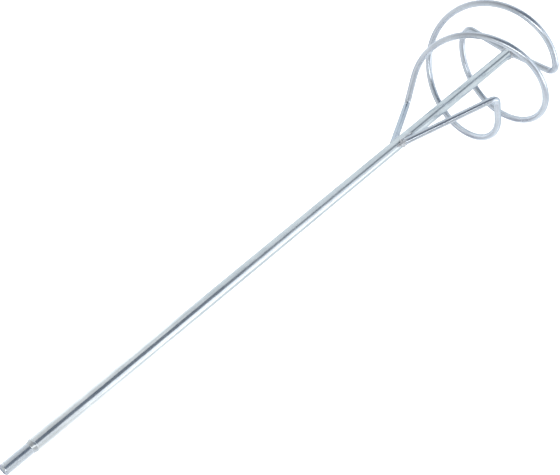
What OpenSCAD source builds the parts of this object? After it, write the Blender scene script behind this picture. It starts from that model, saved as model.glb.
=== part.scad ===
// Mortar mixing paddle: a hexagonal drive shank, a straight tube and two mixing wires, one half a
// turn round from the other, all welded into one rigid stirrer.
//
// Millimetres, +Z up. The origin is the centre of the shank's free end, so the whole tool hangs
// below it: the tube runs down the Z axis, and the arms of the two wires lie along X at the bottom.

/* [Overall] */
// Length from the free end of the shank to the underside of the arms
total_length = 600; // [520:5:680]

/* [Drive shank] */
// Width across the flats that the drill chuck grips
hex_flats = 8; // [7:0.1:8.2]
// Diameter of the round bar that the flats are milled on
shank_diameter = 8.6; // [8.3:0.1:9.2]
// Length of the shank that stands out of the tube
shank_length = 26; // [22:1:60]
// Bevel around the free end
shank_bevel = 1.4; // [0.5:0.1:2.5]
// Length of the round spigot hidden inside the tube
spigot_length = 22; // [10:1:40]

/* [Tube] */
// Outside diameter
tube_diameter = 10; // [9.6:0.1:12]
// Wall thickness
tube_wall = 1.5; // [1:0.1:2]

/* [Mixing wires] */
// Diameter of the wire
wire_diameter = 6; // [5:0.1:6.6]
// Height of the point where each leg meets the tube, above the middle of the arms
foot_height = 173.5; // [165:0.5:190]
// Direction of that point around the tube, measured from the arm of the same wire
foot_angle = 38; // [30:1:46]
// Straight run between the bend of the leg and the start of the loop
lead_length = 29; // [22:1:32]
// Mean radius of the loop
loop_radius = 55.7; // [50:0.1:62]
// Growth of the loop's radius from its upper end to its lower end
loop_growth = 5.4; // [0:0.1:8]
// How far the loop's own centre sits from the tube's axis, away from its arm
loop_offset = 7.3; // [0:0.1:9]
// Angle through which the loop turns
loop_turn = 358; // [350:1:370]
// Height of the loop's upper end above the middle of the arms
loop_top = 89.3; // [84:0.1:96]
// Height of the loop's lower end above the middle of the arms
loop_bottom = 2; // [0:0.1:3]
// How far the loop hangs below an even slope half way round
loop_sag = 7.2; // [0:0.1:9]
// Extra hang on the lower half, taken from the upper half
loop_skew = 2; // [0:0.1:3]
// Distance from the corner of each leg's bend over which the wire is rounded
knee_setback = 7; // [5:0.5:9]
// The same distance for the elbow between loop and arm
elbow_setback = 10; // [7:0.5:11]
// How far the corner of each elbow lies from the tube's axis, along X
elbow_reach = 51.5; // [50:0.1:54]
// How far the elbow of wire a swings past the X axis
elbow_past_a = 9; // [0:0.5:9.5]
// How far the elbow of wire b swings past the X axis
elbow_past_b = 2; // [0:0.5:9.5]

/* [Welds] */
// Width of the bead around the joint of shank and tube
shank_bead = 4; // [3:0.1:6]
// Half length of the bead on each foot
foot_bead = 8.5; // [6:0.5:10]
// Radius of the bead on each arm
tip_bead = 3; // [2.6:0.1:3.4]

/* [Hidden] */
wire_r = wire_diameter / 2;
tube_r = tube_diameter / 2;
bore_r = tube_r - tube_wall;
tip_z = wire_r - total_length;
tip_gap = 0.3;
spigot_gap = 0.05;
hex_corners = hex_flats / cos(30);
flat_length = shank_length - shank_bead;
tube_top = -shank_length;
tube_bottom = tip_z + wire_r + tip_gap;
wire_sides = 16;
loop_steps = 88;
bend_steps = 8;
elbow_share = elbow_setback / (2 * PI * loop_radius);
round_fn = 64;
bead_fn = 28;

// A vector of length 1 along v.
function unit(v) = v / norm(v);

// Height of the loop above the middle of the arms, u running from 0 at the leg to 1 at the arm.
function loop_height(u) =
    loop_top + (loop_bottom - loop_top) * u - 4 * loop_sag * u * (1 - u)
    - 10 * loop_skew * u * (1 - u) * (2 * u - 1);

// Point of the loop's centre line.
function loop_point(u) =
    let (a = loop_turn * (1 - u), r = loop_radius + loop_growth * (u - 0.5))
    [r * cos(a) - loop_offset, r * sin(a), tip_z + loop_height(u)];

// Direction of the loop's centre line, towards the arm.
function loop_way(u) = unit(loop_point(u + 0.002) - loop_point(u - 0.002));

// Points of the curve that leaves a along the direction into, and reaches b along the direction out.
function bend(a, into, b, out) =
    let (h = norm(b - a) * 0.42, p = a + into * h, q = b - out * h)
    [for (i = [0:bend_steps]) let (t = i / bend_steps, s = 1 - t)
        s * s * s * a + 3 * s * s * t * p + 3 * s * t * t * q + t * t * t * b];

// Centre line of one wire, from its foot on the tube to the inner end of its arm. The elbow swings
// past the X axis by the distance past.
function wire_path(past) =
    let (
        foot_r = tube_r + wire_r,
        foot = [foot_r * cos(foot_angle), foot_r * sin(foot_angle), tip_z + foot_height],
        loop_first = loop_point(0),
        knee = loop_first - loop_way(0) * lead_length,
        leg_way = unit(knee - foot),
        loop_last = loop_point(1 - elbow_share),
        elbow = [elbow_reach, -past, tip_z],
        arm_end = [tip_gap, 0, tip_z],
        arm_way = unit(arm_end - elbow)
    )
    concat(
        [foot],
        bend(knee - leg_way * knee_setback, leg_way, knee + loop_way(0) * knee_setback, loop_way(0)),
        [for (i = [0:loop_steps]) loop_point(i / loop_steps * (1 - elbow_share))],
        [for (p = bend(loop_last, loop_way(1 - elbow_share), elbow + arm_way * elbow_setback, arm_way))
            if (norm(p - loop_last) > 0.01) p],
        [arm_end]
    );

// Ring of points around p, square to the direction way.
function ring(p, way) =
    let (side = unit(cross(way, [0, 0, 1])), up = cross(side, way))
    [for (k = [0:wire_sides - 1]) let (a = 360 * k / wire_sides)
        p + wire_r * (cos(a) * side + sin(a) * up)];

// Round wire along the path.
module swept_wire(path) {
    last = len(path) - 1;
    rings = [for (i = [0:last])
        let (
            before = unit(path[max(i, 1)] - path[max(i, 1) - 1]),
            after = unit(path[min(i, last - 1) + 1] - path[min(i, last - 1)])
        )
        ring(path[i], unit(before + after))];
    points = [for (r = rings, p = r) p];
    walls = [for (i = [0:last - 1], k = [0:wire_sides - 1])
        let (a = i * wire_sides, b = a + wire_sides, m = (k + 1) % wire_sides)
        [a + k, a + m, b + m, b + k]];
    ends = [
        [for (k = [wire_sides - 1:-1:0]) k],
        [for (k = [0:wire_sides - 1]) last * wire_sides + k]
    ];
    polyhedron(points = points, faces = concat(walls, ends));
}

module wire(past) {
    swept_wire(wire_path(past));
}

// Round bar with six flats, each bevelled at the free end.
module hex_bar() {
    intersection() {
        translate([0, 0, -flat_length])
            rotate([0, 0, 30])
            cylinder(d = hex_corners, h = flat_length, $fn = 6);
        translate([0, 0, -flat_length])
            rotate([0, 0, 30])
            cylinder(
                d1 = hex_corners - 2 * shank_bevel + 2 * flat_length,
                d2 = hex_corners - 2 * shank_bevel,
                h = flat_length,
                $fn = 6
            );
        translate([0, 0, -flat_length])
            cylinder(d = shank_diameter, h = flat_length, $fn = round_fn);
    }
}

module tube_envelope() {
    translate([0, 0, tube_bottom])
        cylinder(r = tube_r, h = tube_top - tube_bottom, $fn = round_fn);
}

module drive_shank() {
    color("silver") union() {
        hex_bar();
        translate([0, 0, tube_top])
            cylinder(d = shank_diameter, h = shank_bead, $fn = round_fn);
        translate([0, 0, tube_top - spigot_length])
            cylinder(r = bore_r - spigot_gap, h = spigot_length, $fn = round_fn);
    }
}

module shaft_tube() {
    color("silver") difference() {
        tube_envelope();
        translate([0, 0, tube_bottom - 1])
            cylinder(r = bore_r, h = tube_top - tube_bottom + 2, $fn = round_fn);
    }
}

module wire_a() {
    color("lightsteelblue") wire(elbow_past_a);
}

module wire_b() {
    color("lightsteelblue") rotate([0, 0, 180]) wire(elbow_past_b);
}

// Bead that fills the step between the shank and the end of the tube.
module shank_weld() {
    color("gray") rotate_extrude($fn = round_fn)
        polygon([
            [shank_diameter / 2, tube_top],
            [tube_r - 0.1, tube_top],
            [tube_r - 0.2, tube_top + shank_bead * 0.35],
            [shank_diameter / 2 + 0.1, tube_top + shank_bead],
            [shank_diameter / 2, tube_top + shank_bead]
        ]);
}

// Rounded blob with the given half sizes.
module faceted_bead(half) {
    hull()
        scale(half)
        sphere(r = 1, $fn = bead_fn);
}

// Bead that wraps the cut end of a leg where it lies against the tube.
module foot_weld(past) {
    difference() {
        rotate([0, 0, foot_angle])
            translate([tube_r + wire_r * 0.6, 0, tip_z + foot_height])
            faceted_bead([wire_r * 1.5, wire_r * 1.5, foot_bead]);
        tube_envelope();
        wire(past);
    }
}

module foot_weld_a() {
    color("gray") foot_weld(elbow_past_a);
}

module foot_weld_b() {
    color("gray") rotate([0, 0, 180]) foot_weld(elbow_past_b);
}

// Bead in the corner between an arm and the end of the tube.
module tip_weld(past) {
    difference() {
        translate([tube_r, 0, tube_bottom])
            faceted_bead([tip_bead, tip_bead * 1.1, tip_bead * 0.8]);
        tube_envelope();
        wire(past);
    }
}

module tip_weld_a() {
    color("gray") tip_weld(elbow_past_a);
}

module tip_weld_b() {
    color("gray") rotate([0, 0, 180]) tip_weld(elbow_past_b);
}

drive_shank();
shaft_tube();
wire_a();
wire_b();
shank_weld();
foot_weld_a();
foot_weld_b();
tip_weld_a();
tip_weld_b();
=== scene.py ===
import math
import random

import bmesh
import bpy
from mathutils import Matrix, Vector


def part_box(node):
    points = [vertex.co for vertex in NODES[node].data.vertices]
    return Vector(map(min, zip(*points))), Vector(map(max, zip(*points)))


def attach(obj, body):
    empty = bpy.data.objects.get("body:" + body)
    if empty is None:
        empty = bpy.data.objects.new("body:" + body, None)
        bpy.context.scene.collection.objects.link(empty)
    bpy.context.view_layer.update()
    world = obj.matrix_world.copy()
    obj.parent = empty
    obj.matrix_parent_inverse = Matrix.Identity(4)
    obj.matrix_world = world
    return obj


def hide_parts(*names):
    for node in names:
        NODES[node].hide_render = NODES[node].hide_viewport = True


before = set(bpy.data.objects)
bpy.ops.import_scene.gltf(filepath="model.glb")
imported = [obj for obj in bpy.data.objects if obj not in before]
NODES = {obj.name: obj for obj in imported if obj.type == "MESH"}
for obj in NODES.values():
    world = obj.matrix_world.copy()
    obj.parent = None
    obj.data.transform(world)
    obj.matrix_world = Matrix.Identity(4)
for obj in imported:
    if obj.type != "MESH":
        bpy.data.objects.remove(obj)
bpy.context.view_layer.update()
MM = 0.001
HALF_TURN = Matrix.Rotation(math.pi, 4, "Z")

# ---------------------------------------------------------------- sizes
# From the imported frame. The shank's box is set by its round neck on both axes, so SHANK_FLAT comes out
# equal to SHANK_R, and not as half the width across the flats.
tube_low, tube_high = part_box("shaft_tube")
shank_low, shank_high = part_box("drive_shank")
TUBE_R = (tube_high.x - tube_low.x) / 2
TUBE_TOP = tube_high.z
TUBE_BOTTOM = tube_low.z
SHANK_FLAT = (shank_high.x - shank_low.x) / 2
SHANK_R = (shank_high.y - shank_low.y) / 2
SHANK_BOTTOM = shank_low.z

# As in the part's source.
TIP_GAP = 0.3 * MM
WIRE_R = 3.0 * MM
TIP_Z = TUBE_BOTTOM - TIP_GAP - WIRE_R
SPIGOT_R = 3.45 * MM
SHANK_BEVEL = 1.4 * MM

# The route of one wire, as in the part's source.
FOOT_HEIGHT = 173.5 * MM
FOOT_ANGLE = math.radians(38)
LEAD_LENGTH = 29 * MM
LOOP_RADIUS = 55.7 * MM
LOOP_GROWTH = 5.4 * MM
LOOP_OFFSET = 7.3 * MM
LOOP_TURN = math.radians(358)
LOOP_TOP = 89.3 * MM
LOOP_BOTTOM = 2 * MM
LOOP_SAG = 7.2 * MM
LOOP_SKEW = 2 * MM
KNEE_SETBACK = 7 * MM
ELBOW_SETBACK = 10 * MM
ELBOW_REACH = 51.5 * MM
ELBOW_PAST_A = 9 * MM
ELBOW_PAST_B = 2 * MM
ELBOW_SHARE = ELBOW_SETBACK / (2 * math.pi * LOOP_RADIUS)
BEND_PULL = 0.42

# Steps that each stretch of a wire is drawn with, finer than in the part's source.
LEG_STEPS = 24
BEND_STEPS = 16
LEAD_STEPS = 6
LOOP_STEPS = 240
ARM_STEPS = 14


def loop_point(u):
    """Point of the loop's centre line, u running from 0 at the leg to 1 at the arm."""
    a = LOOP_TURN * (1 - u)
    r = LOOP_RADIUS + LOOP_GROWTH * (u - 0.5)
    height = (
        LOOP_TOP + (LOOP_BOTTOM - LOOP_TOP) * u
        - 4 * LOOP_SAG * u * (1 - u)
        - 10 * LOOP_SKEW * u * (1 - u) * (2 * u - 1)
    )
    return Vector((r * math.cos(a) - LOOP_OFFSET, r * math.sin(a), TIP_Z + height))


def loop_way(u):
    """Direction of the loop's centre line, towards the arm."""
    return (loop_point(u + 0.002) - loop_point(u - 0.002)).normalized()


def bend(a, into, b, out):
    """Points of the curve that leaves a along the direction into, and reaches b along out."""
    h = (b - a).length * BEND_PULL
    p, q = a + into * h, b - out * h
    points = []
    for i in range(BEND_STEPS + 1):
        t = i / BEND_STEPS
        s = 1 - t
        points.append(s**3 * a + 3 * s * s * t * p + 3 * s * t * t * q + t**3 * b)
    return points


def straight(a, b, steps):
    return [a.lerp(b, i / steps) for i in range(steps + 1)]


def wire_path(past):
    """Centre line of one wire, whose elbow swings past the X axis by the distance past."""
    foot_r = TUBE_R + WIRE_R
    foot = Vector((foot_r * math.cos(FOOT_ANGLE), foot_r * math.sin(FOOT_ANGLE), TIP_Z + FOOT_HEIGHT))
    first = loop_point(0)
    knee = first - loop_way(0) * LEAD_LENGTH
    leg_way = (knee - foot).normalized()
    last = loop_point(1 - ELBOW_SHARE)
    elbow = Vector((ELBOW_REACH, -past, TIP_Z))
    arm_end = Vector((TIP_GAP, 0, TIP_Z))
    arm_way = (arm_end - elbow).normalized()
    leg_end = knee - leg_way * KNEE_SETBACK
    lead_start = knee + loop_way(0) * KNEE_SETBACK
    arm_start = elbow + arm_way * ELBOW_SETBACK
    path = straight(foot, leg_end, LEG_STEPS)[:-1]
    path += bend(leg_end, leg_way, lead_start, loop_way(0))
    path += straight(lead_start, first, LEAD_STEPS)[1:-1]
    path += [loop_point(i / LOOP_STEPS * (1 - ELBOW_SHARE)) for i in range(LOOP_STEPS + 1)]
    path += bend(last, loop_way(1 - ELBOW_SHARE), arm_start, arm_way)[1:]
    path += straight(arm_start, arm_end, ARM_STEPS)[1:]
    return path


# ---------------------------------------------------------------- meshes
def add_piece(name, bm, smooth=True):
    mesh = bpy.data.meshes.new(name)
    bm.normal_update()
    bm.to_mesh(mesh)
    bm.free()
    piece = bpy.data.objects.new(name, mesh)
    bpy.context.scene.collection.objects.link(piece)
    for polygon in mesh.polygons:
        polygon.use_smooth = smooth
    return piece


def sweep(name, path, radius, sides=40, edge=0.35 * MM):
    """Round wire along the path, its two cut ends slightly rounded; UVs in metres along and around."""
    bm = bmesh.new()
    uv = bm.loops.layers.uv.new("UVMap")
    stations = []
    travelled = 0.0
    for i, p in enumerate(path):
        before = path[max(i, 1)] - path[max(i, 1) - 1]
        after = path[min(i, len(path) - 2) + 1] - path[min(i, len(path) - 2)]
        way = (before.normalized() + after.normalized()).normalized()
        if i:
            travelled += (p - path[i - 1]).length
        stations.append((p, way, radius, travelled))
    first, last = stations[0], stations[-1]
    stations[0] = (first[0] + first[1] * edge, first[1], radius, edge)
    stations.insert(0, (first[0], first[1], radius - edge, 0.0))
    stations[-1] = (last[0] - last[1] * edge, last[1], radius, last[3] - edge)
    stations.append((last[0], last[1], radius - edge, last[3]))
    rings = []
    for p, way, r, _ in stations:
        side = way.cross(Vector((0, 0, 1))).normalized()
        up = side.cross(way)
        rings.append([
            bm.verts.new(p + r * (math.cos(a) * side + math.sin(a) * up))
            for a in (2 * math.pi * k / sides for k in range(sides))
        ])
    for i in range(len(rings) - 1):
        for k in range(sides):
            m = (k + 1) % sides
            face = bm.faces.new((rings[i][k], rings[i][m], rings[i + 1][m], rings[i + 1][k]))
            corners = ((i, k), (i, k + 1), (i + 1, k + 1), (i + 1, k))
            for loop, (row, column) in zip(face.loops, corners):
                loop[uv].uv = (2 * math.pi * radius * column / sides, stations[row][3])
    bm.faces.new(list(reversed(rings[0])))
    bm.faces.new(rings[-1])
    bmesh.ops.recalc_face_normals(bm, faces=bm.faces)
    return add_piece(name, bm)


def half_turned(piece, name):
    """A copy turned half a turn about the tube's axis."""
    twin = piece.copy()
    twin.data = piece.data.copy()
    twin.name = name
    twin.data.name = name
    twin.data.transform(HALF_TURN)
    bpy.context.scene.collection.objects.link(twin)
    return twin


def bead(name, blobs, voxel=0.22 * MM):
    """Weld metal: overlapping drops fused into one skin. A drop is (place, half sizes)."""
    bm = bmesh.new()
    for place, half in blobs:
        size = Matrix.Diagonal((half[0], half[1], half[2], 1))
        where = Matrix.Translation(place) @ size
        bmesh.ops.create_icosphere(bm, subdivisions=3, radius=1, matrix=where)
    piece = add_piece(name, bm)
    remesh = piece.modifiers.new("fuse", "REMESH")
    remesh.mode = "VOXEL"
    remesh.voxel_size = voxel
    remesh.use_smooth_shade = True
    soften = piece.modifiers.new("soften", "SMOOTH")
    soften.factor = 0.5
    soften.iterations = 3
    graph = bpy.context.evaluated_depsgraph_get()
    fused = bpy.data.meshes.new_from_object(piece.evaluated_get(graph))
    piece.modifiers.clear()
    piece.data = fused
    fused.name = name
    for polygon in fused.polygons:
        polygon.use_smooth = True
    return piece


def foot_blobs():
    """Drops of the bead on a wire's upper end, placed from the middle of that end on the tube's axis."""
    side_drops, end_drops, ramp_drops, gap_drops = 9, 5, 6, 5
    rng = random.Random(11)
    out = Vector((math.cos(FOOT_ANGLE), math.sin(FOOT_ANGLE), 0))
    side = Vector((-out.y, out.x, 0))
    up = Vector((0, 0, 1))
    foot = Vector((0, 0, TIP_Z + FOOT_HEIGHT))
    blobs = []
    # Down both sides of the wire, thinner and further from the tube as they go.
    for sign in (-1, 1):
        for i in range(side_drops):
            t = i / (side_drops - 1)
            rise = (1.2 - 12.0 * t) * MM
            gap = max(0.0, -rise) * 0.55
            away = TUBE_R + 0.9 * MM + gap * 0.35
            place = foot + up * rise + out * away + side * sign * (2.35 - 0.5 * t) * MM
            size = (1.75 - 0.5 * t + rng.uniform(-0.15, 0.15)) * MM
            blobs.append((place, (size, size, size * 0.95)))
    # Across the cut end.
    for i in range(end_drops):
        t = i / (end_drops - 1) - 0.5
        wobble = rng.uniform(-0.2, 0.2)
        place = foot + up * (1.1 + wobble) * MM + out * (TUBE_R + 1.3 * MM) + side * t * 4.4 * MM
        blobs.append((place, (1.9 * MM, 1.9 * MM, 1.7 * MM)))
    # A ramp that tapers up the tube.
    for i in range(ramp_drops):
        t = i / (ramp_drops - 1)
        place = foot + up * (0.2 + 5.6 * t) * MM + out * (TUBE_R + (3.3 - 3.4 * t) * MM)
        size = (2.3 - 0.9 * t + rng.uniform(-0.1, 0.1)) * MM
        blobs.append((place, (size, size, size)))
    # In the corner between wire and tube.
    for i in range(gap_drops):
        place = foot - up * (2 + 1.9 * i) * MM + out * (TUBE_R + (0.2 + 0.25 * i) * MM)
        blobs.append((place, (1.6 * MM, 1.6 * MM, 1.4 * MM)))
    return blobs


def tip_blobs():
    """Drops of the bead between an arm and the end of the tube."""
    rim_drops, arm_drops = 7, 3
    rim_reach = 62
    rng = random.Random(23)
    blobs = []
    # Round the tube's rim, over the arm.
    for i in range(rim_drops):
        a = math.radians(-rim_reach + 2 * rim_reach * i / (rim_drops - 1))
        r = TUBE_R - 0.1 * MM
        place = Vector((r * math.cos(a), r * math.sin(a), TUBE_BOTTOM + rng.uniform(-0.2, 0.25) * MM))
        size = (1.45 + rng.uniform(-0.15, 0.2)) * MM
        blobs.append((place, (size, size, size * 0.9)))
    # Along both sides of the arm, and one drop below its inner end.
    for sign in (-1, 1):
        for i in range(arm_drops):
            place = Vector(((1.2 + 1.9 * i) * MM, sign * 2.3 * MM, TIP_Z + 1.5 * MM))
            blobs.append((place, (1.35 * MM, 1.2 * MM, 1.2 * MM)))
    blobs.append((Vector((1.1 * MM, 0, TIP_Z - 1.2 * MM)), (1.3 * MM, 1.6 * MM, 1.2 * MM)))
    return blobs


def shank_bead():
    """Ring of weld metal in the step between shank and tube, with the ripples of its passes."""
    rng = random.Random(5)
    steps = 180
    most_push = 0.12 * MM
    # Outline of the bead, as radius and height above the tube's top.
    profile = [
        (SHANK_FLAT - 0.4 * MM, 3.9 * MM), (SHANK_R - 0.05 * MM, 3.6 * MM), (SHANK_R + 0.15 * MM, 2.9 * MM),
        (TUBE_R - 0.45 * MM, 2.1 * MM), (TUBE_R - 0.12 * MM, 1.2 * MM), (TUBE_R + 0.03 * MM, 0.3 * MM),
        (TUBE_R - 0.02 * MM, -0.6 * MM), (TUBE_R - 0.5 * MM, -0.9 * MM), (SHANK_FLAT - 0.4 * MM, -0.5 * MM),
    ]
    phase = [rng.uniform(0, 2 * math.pi) for _ in range(3)]
    bm = bmesh.new()
    rings = []
    for k in range(steps):
        a = 2 * math.pi * k / steps
        wave = (
            0.03 * abs(math.sin(9 * a + phase[0]))
            + 0.09 * math.sin(2 * a + phase[1])
            + 0.03 * math.sin(5 * a + phase[2])
        )
        ring = []
        for i, (r, z) in enumerate(profile):
            swell = wave * MM if 1 <= i <= 5 else 0.0
            swollen = r + min(swell, most_push) * 0.6
            height = TUBE_TOP + z + swell * 2.2
            ring.append(bm.verts.new((swollen * math.cos(a), swollen * math.sin(a), height)))
        rings.append(ring)
    count = len(profile)
    for k in range(steps):
        nxt = rings[(k + 1) % steps]
        for i in range(count):
            m = (i + 1) % count
            bm.faces.new((rings[k][i], nxt[i], nxt[m], rings[k][m]))
    bmesh.ops.recalc_face_normals(bm, faces=bm.faces)
    return add_piece("shank_bead", bm)


def milled_shank():
    """Bar for the drill chuck, with its bevelled free end and its hidden spigot.

    The bar is cut back to six flats at SHANK_FLAT, which run out in a curve before the tube. While
    SHANK_FLAT equals SHANK_R the cut takes nothing off, and the bar is round from the bevel down.
    """
    runout = 3.0 * MM
    flat_end = TUBE_TOP + 4.0 * MM
    depth = SHANK_R - SHANK_FLAT
    sides = 144
    bevel_steps, flat_steps, neck_steps = 8, 40, 16
    spigot_edge = 0.4 * MM
    # The sharp edge of the free end is broken first: by rim_drop down and rim_trim out.
    rim_drop = 0.15 * MM
    rim_trim = 0.28 * MM
    # Each row is a height and how far the bevel trims the bar there.
    rows = [(0.0, SHANK_BEVEL), (-rim_drop, SHANK_BEVEL - rim_trim)]
    for i in range(1, bevel_steps + 1):
        z = -rim_drop - (SHANK_BEVEL - rim_drop) * i / bevel_steps
        rows.append((z, (SHANK_BEVEL - rim_trim) * (1 - i / bevel_steps)))
    z_start = -SHANK_BEVEL
    for i in range(1, flat_steps + 1):
        rows.append((z_start + (flat_end - z_start) * i / flat_steps, 0.0))
    for i in range(1, neck_steps + 1):
        rows.append((flat_end - (flat_end - TUBE_TOP) * i / neck_steps, 0.0))
    bm = bmesh.new()
    rings = []
    for z, trim in rows:
        rise = 0.0
        start = flat_end + runout
        if z < start:
            t = min((start - z) / runout, 1.0)
            rise = depth * (1 - math.sqrt(max(0.0, 1 - t * t)))
        ring = []
        for k in range(sides):
            a = 2 * math.pi * k / sides
            off = (a + math.pi / 6) % (math.pi / 3) - math.pi / 6
            flat = (SHANK_FLAT + rise - trim) / math.cos(off)
            r = min(flat, SHANK_R - trim * 0.6)
            ring.append(bm.verts.new((r * math.cos(a), r * math.sin(a), z)))
        rings.append(ring)
    for z in (TUBE_TOP, SHANK_BOTTOM + spigot_edge, SHANK_BOTTOM):
        r = SPIGOT_R - (spigot_edge if z == SHANK_BOTTOM else 0.0)
        rings.append([
            bm.verts.new((r * math.cos(a), r * math.sin(a), z))
            for a in (2 * math.pi * k / sides for k in range(sides))
        ])
    for i in range(len(rings) - 1):
        for k in range(sides):
            m = (k + 1) % sides
            bm.faces.new((rings[i][k], rings[i + 1][k], rings[i + 1][m], rings[i][m]))
    bm.faces.new(rings[0])
    bm.faces.new(list(reversed(rings[-1])))
    bmesh.ops.recalc_face_normals(bm, faces=bm.faces)
    piece = add_piece("shank_milled", bm)
    piece.data.set_sharp_from_angle(angle=math.radians(14))
    return piece


# ---------------------------------------------------------------- materials
class Graph:
    """Short hand for building a node material."""

    def __init__(self, name):
        self.material = bpy.data.materials.new(name)
        self.material.use_nodes = True
        self.tree = self.material.node_tree
        self.shader = self.tree.nodes["Principled BSDF"]
        self.coords = self.tree.nodes.new("ShaderNodeTexCoord")

    def link(self, source, target):
        self.tree.links.new(source, target)

    def scaled(self, scale, space="Object"):
        """Coordinates in metres times scale, so scale counts the noise's features to a metre."""
        node = self.tree.nodes.new("ShaderNodeMapping")
        node.inputs["Scale"].default_value = scale
        self.link(self.coords.outputs[space], node.inputs["Vector"])
        return node.outputs["Vector"]

    def noise(self, vector, detail, rough):
        node = self.tree.nodes.new("ShaderNodeTexNoise")
        node.inputs["Scale"].default_value = 1.0
        node.inputs["Detail"].default_value = detail
        node.inputs["Roughness"].default_value = rough
        self.link(vector, node.inputs["Vector"])
        return node.outputs["Fac"]

    def remap(self, value, low, high, new_low, new_high):
        node = self.tree.nodes.new("ShaderNodeMapRange")
        ends = (("From Min", low), ("From Max", high), ("To Min", new_low), ("To Max", new_high))
        for key, number in ends:
            node.inputs[key].default_value = number
        self.link(value, node.inputs["Value"])
        return node.outputs["Result"]

    def ramp(self, value, stops):
        node = self.tree.nodes.new("ShaderNodeValToRGB")
        elements = node.color_ramp.elements
        while len(elements) < len(stops):
            elements.new(0.5)
        for element, (place, color) in zip(elements, stops):
            element.position = place
            element.color = (*color, 1)
        self.link(value, node.inputs["Fac"])
        return node.outputs["Color"]

    def mix(self, factor, a, b):
        node = self.tree.nodes.new("ShaderNodeMix")
        node.data_type = "RGBA"
        for value, socket in ((factor, node.inputs[0]), (a, node.inputs[6]), (b, node.inputs[7])):
            if isinstance(value, bpy.types.NodeSocket):
                self.link(value, socket)
            else:
                socket.default_value = value if isinstance(value, float) else (*value, 1)
        return node.outputs[2]

    def bump(self, height, strength, distance, under=None):
        node = self.tree.nodes.new("ShaderNodeBump")
        node.inputs["Strength"].default_value = strength
        node.inputs["Distance"].default_value = distance
        self.link(height, node.inputs["Height"])
        if under:
            self.link(under, node.inputs["Normal"])
        return node.outputs["Normal"]


def zinc(name, tones, rough, space, along, grain=0.35):
    """Zinc plating on drawn steel: cloudy blue-grey tones, faint drawing lines and small specks."""
    g = Graph(name)
    cloud = g.noise(g.scaled((60, 60, 60)), 5.0, 0.6)
    lines = g.noise(g.scaled(along, space), 3.0, 0.6)
    specks = g.noise(g.scaled((900, 900, 900)), 2.0, 0.5)
    color = g.ramp(cloud, ((0.30, tones[0]), (0.52, tones[1]), (0.72, tones[2])))
    color = g.mix(g.remap(lines, 0.40, 0.72, 0.0, 0.22), color, tones[0])
    color = g.mix(g.remap(specks, 0.70, 0.82, 0.0, 0.2), color, tuple(0.6 * v for v in tones[0]))
    g.link(color, g.shader.inputs["Base Color"])
    haze = g.noise(g.scaled((140, 140, 140)), 4.0, 0.65)
    g.link(g.remap(haze, 0.3, 0.7, rough[0], rough[1]), g.shader.inputs["Roughness"])
    g.shader.inputs["Metallic"].default_value = 1.0
    g.shader.inputs["Specular Tint"].default_value = (*EDGE_TINT, 1)
    fine = g.bump(lines, grain, 0.000015)
    ripple = g.bump(g.noise(g.scaled((230, 230, 230)), 3.0, 0.5), 0.08, 0.00005, fine)
    g.link(ripple, g.shader.inputs["Normal"])
    return g.material


def weld_metal(name):
    """Bare weld metal: patchy grey, sooty in places, scaly and pitted."""
    g = Graph(name)
    cloud = g.noise(g.scaled((420, 420, 420)), 4.0, 0.6)
    color = g.ramp(cloud, ((0.32, WELD_TONES[0]), (0.50, WELD_TONES[1]), (0.70, WELD_TONES[2])))
    soot = g.noise(g.scaled((160, 160, 160)), 3.0, 0.6)
    color = g.mix(g.remap(soot, 0.55, 0.72, 0.0, 0.6), color, SOOT)
    g.link(color, g.shader.inputs["Base Color"])
    g.link(g.remap(cloud, 0.3, 0.7, 0.24, 0.5), g.shader.inputs["Roughness"])
    g.shader.inputs["Metallic"].default_value = 1.0
    scales = g.bump(g.noise(g.scaled((300, 300, 700)), 2.0, 0.5), 0.5, 0.0004)
    pits = g.bump(g.noise(g.scaled((1800, 1800, 1800)), 2.0, 0.5), 0.3, 0.0001, scales)
    g.link(pits, g.shader.inputs["Normal"])
    return g.material


# Each row of tones runs from dark to light.
TUBE_TONES = ((0.58, 0.63, 0.66), (0.66, 0.71, 0.74), (0.73, 0.78, 0.80))
WIRE_TONES = ((0.55, 0.60, 0.67), (0.61, 0.67, 0.74), (0.67, 0.73, 0.80))
SHANK_TONES = ((0.52, 0.58, 0.64), (0.60, 0.66, 0.72), (0.68, 0.74, 0.79))
WELD_TONES = ((0.34, 0.36, 0.39), (0.62, 0.65, 0.69), (0.80, 0.84, 0.88))
SOOT = (0.15, 0.15, 0.16)
EDGE_TINT = (0.62, 0.66, 0.70)
tube_zinc = zinc("tube_zinc", TUBE_TONES, (0.17, 0.27), "Object", (900, 900, 9))
wire_zinc = zinc("wire_zinc", WIRE_TONES, (0.20, 0.28), "UV", (1100, 10, 1), 0.25)
shank_steel = zinc("shank_steel", SHANK_TONES, (0.20, 0.30), "Object", (1500, 1500, 30), 0.5)
weld = weld_metal("weld_metal")
dressed_weld = zinc("dressed_weld", TUBE_TONES, (0.22, 0.34), "Object", (700, 700, 200))


def finish_piece(piece, material, slot, *nodes):
    piece.data.materials.clear()
    piece.data.materials.append(material)
    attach(piece, "root")
    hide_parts(*nodes)


tube = NODES["shaft_tube"]
tube.data.materials.clear()
tube.data.materials.append(tube_zinc)

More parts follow.
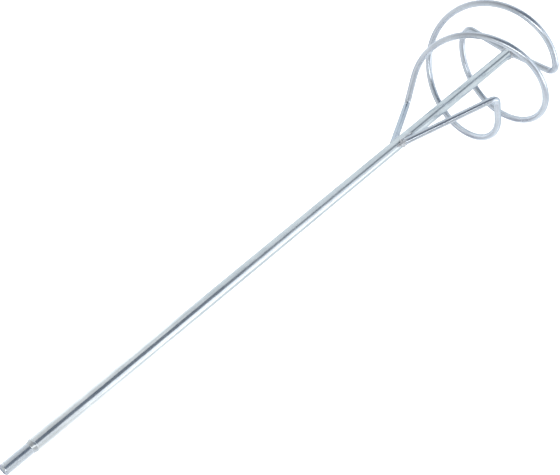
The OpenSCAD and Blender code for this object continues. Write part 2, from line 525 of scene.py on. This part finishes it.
wire_a = sweep("wire_a_bent", wire_path(ELBOW_PAST_A), WIRE_R)
finish_piece(wire_a, wire_zinc, "wire_zinc", "wire_a")
wire_b = sweep("wire_b_bent", [HALF_TURN @ p for p in wire_path(ELBOW_PAST_B)], WIRE_R)
finish_piece(wire_b, wire_zinc, "wire_zinc", "wire_b")
finish_piece(milled_shank(), shank_steel, "shank_steel", "drive_shank")
finish_piece(shank_bead(), dressed_weld, "weld_metal", "shank_weld")
foot_a = bead("foot_bead_a", foot_blobs())
finish_piece(foot_a, weld, "weld_metal", "foot_weld_a")
finish_piece(half_turned(foot_a, "foot_bead_b"), weld, "weld_metal", "foot_weld_b")
tip_a = bead("tip_bead_a", tip_blobs())
finish_piece(tip_a, weld, "weld_metal", "tip_weld_a")
finish_piece(half_turned(tip_a, "tip_bead_b"), weld, "weld_metal", "tip_weld_b")


# ---------------------------------------------------------------- stage, light and camera
def plain(name, color):
    """One matt colour, for the floor and the cards."""
    material = bpy.data.materials.new(name)
    material.use_nodes = True
    shader = material.node_tree.nodes["Principled BSDF"]
    shader.inputs["Base Color"].default_value = (*color, 1)
    shader.inputs["Roughness"].default_value = 1.0
    shader.inputs["Specular IOR Level"].default_value = 0.0
    return material


def card(name, width, height, place, target, material):
    bm = bmesh.new()
    w, h = width / 2, height / 2
    bm.faces.new([bm.verts.new((x, y, 0)) for x, y in ((-w, -h), (w, -h), (w, h), (-w, h))])
    piece = add_piece(name, bm, smooth=False)
    piece.data.materials.append(material)
    piece.location = place
    way = Vector(target) - Vector(place)
    piece.rotation_euler = way.to_track_quat("-Z", "Y").to_euler()
    return piece


def reflection_card(name, width, height, place, target, material):
    """A card that is seen only in reflections."""
    piece = card(name, width, height, place, target, material)
    piece.visible_camera = False
    piece.visible_diffuse = False
    piece.visible_shadow = False


def polar(azimuth, distance, z):
    """A place at this height, at a distance from the tube's axis, azimuth in degrees from +X."""
    a = math.radians(azimuth)
    return Vector((distance * math.cos(a), distance * math.sin(a), z))


FLOOR_Z = -2.2
FLOOR_SIZE = 30
MAT_SIZE = 9
MAT_RISE = 0.02
UNDER_FLOOR = (0, 0, FLOOR_Z - 1)
floor_white = plain("floor_white", (0.9, 0.9, 0.9))
card("floor", FLOOR_SIZE, FLOOR_SIZE, (0, 0, FLOOR_Z), UNDER_FLOOR, floor_white)
# Cards that give the metal something to reflect: two dark ones behind the main camera, and grey ones
# lower down, beside, above and beyond the object. Each row is a name, a width, a height, a place and
# a tone.
for name, width, height, place, tone in (
    ("flag", 1.0, 0.95, polar(-116, 1.05, -0.30), (0.10, 0.115, 0.14)),
    ("knee_flag", 0.62, 1.2, polar(-114, 1.12, -1.32), (0.15, 0.17, 0.19)),
    ("low_flag", 3.4, 2.4, polar(-128, 2.0, -1.9), (0.40, 0.41, 0.44)),
    ("side_flag", 1.0, 1.2, polar(-160, 1.9, -1.1), (0.70, 0.72, 0.76)),
    ("top_flag", 1.8, 1.4, polar(135, 1.8, 0.75), (0.52, 0.53, 0.57)),
    ("far_flag", 2.4, 1.3, polar(32, 2.1, 0.55), (0.42, 0.42, 0.46)),
):
    reflection_card(name, width, height, place, (0, 0, place.z * 0.5), plain(name + "_tone", tone))
mat_tone = plain("mat_tone", (0.52, 0.55, 0.57))
reflection_card("floor_mat", MAT_SIZE, MAT_SIZE, (0, 0, FLOOR_Z + MAT_RISE), UNDER_FLOOR, mat_tone)


def soft_light(name, width, height, place, target, radiance):
    """A rectangle of light that the camera does not see."""
    light = bpy.data.lights.new(name, "AREA")
    light.shape = "RECTANGLE"
    light.size = width
    light.size_y = height
    light.energy = radiance * math.pi * width * height
    lamp = bpy.data.objects.new(name, light)
    bpy.context.scene.collection.objects.link(lamp)
    lamp.location = place
    lamp.rotation_euler = (Vector(target) - Vector(place)).to_track_quat("-Z", "Y").to_euler()
    lamp.visible_camera = False
    return lamp


soft_light("strip", 0.42, 0.75, polar(172, 1.05, -0.80), (0, 0, -0.35), 1.35)
# The ceiling lights the floor evenly and is left out of reflections.
CEILING = 18.0
overhead = soft_light("overhead", CEILING, CEILING, (4.0, 5.6, 2.2), (4.0, 5.6, 0), 1.55)
overhead.visible_glossy = False
soft_light("wire_strip", 0.30, 1.6, polar(-150, 1.2, 0.55), (0, 0, -0.55), 3.0)

# The room is lit all round, and darker on the side that ROOM_BACK points to, behind the main camera.
ROOM_BACK_AZIMUTH = math.radians(-123)
ROOM_BACK = (math.cos(ROOM_BACK_AZIMUTH), math.sin(ROOM_BACK_AZIMUTH), 0.1)
ROOM_BRIGHT = 1.05
ROOM_DIM = 0.45
world = bpy.data.worlds.new("studio")
bpy.context.scene.world = world
world.use_nodes = True
nodes, links = world.node_tree.nodes, world.node_tree.links
where = nodes.new("ShaderNodeTexCoord")
facing = nodes.new("ShaderNodeVectorMath")
facing.operation = "DOT_PRODUCT"
facing.inputs[1].default_value = ROOM_BACK
links.new(where.outputs["Generated"], facing.inputs[0])
level = nodes.new("ShaderNodeMapRange")
for key, number in (("From Min", -0.5), ("From Max", 0.8), ("To Min", ROOM_BRIGHT), ("To Max", ROOM_DIM)):
    level.inputs[key].default_value = number
links.new(facing.outputs["Value"], level.inputs["Value"])
links.new(level.outputs["Result"], nodes["Background"].inputs["Strength"])
nodes["Background"].inputs["Color"].default_value = (1.0, 1.0, 1.0, 1)
bpy.context.scene.view_settings.view_transform = "Standard"

CAMERA_PLACE = Vector((-0.3822, -0.5546, 0.1281))
CAMERA_WAY = Vector((0.4905, 0.7062, -0.5106))
CAMERA_UP = Vector((0.4491, -0.7066, -0.5469))
CAMERA_SENSOR = 36
CAMERA_LENS = 64.3
camera_data = bpy.data.cameras.new("camera")
camera_data.sensor_width = CAMERA_SENSOR
camera_data.lens = CAMERA_LENS
camera_data.clip_start = 0.01
camera = bpy.data.objects.new("camera", camera_data)
bpy.context.scene.collection.objects.link(camera)
back = -CAMERA_WAY.normalized()
right = CAMERA_UP.cross(back).normalized()
up = back.cross(right)
turn = Matrix((right, up, back)).transposed()
camera.matrix_world = Matrix.Translation(CAMERA_PLACE) @ turn.to_4x4()
bpy.context.scene.camera = camera
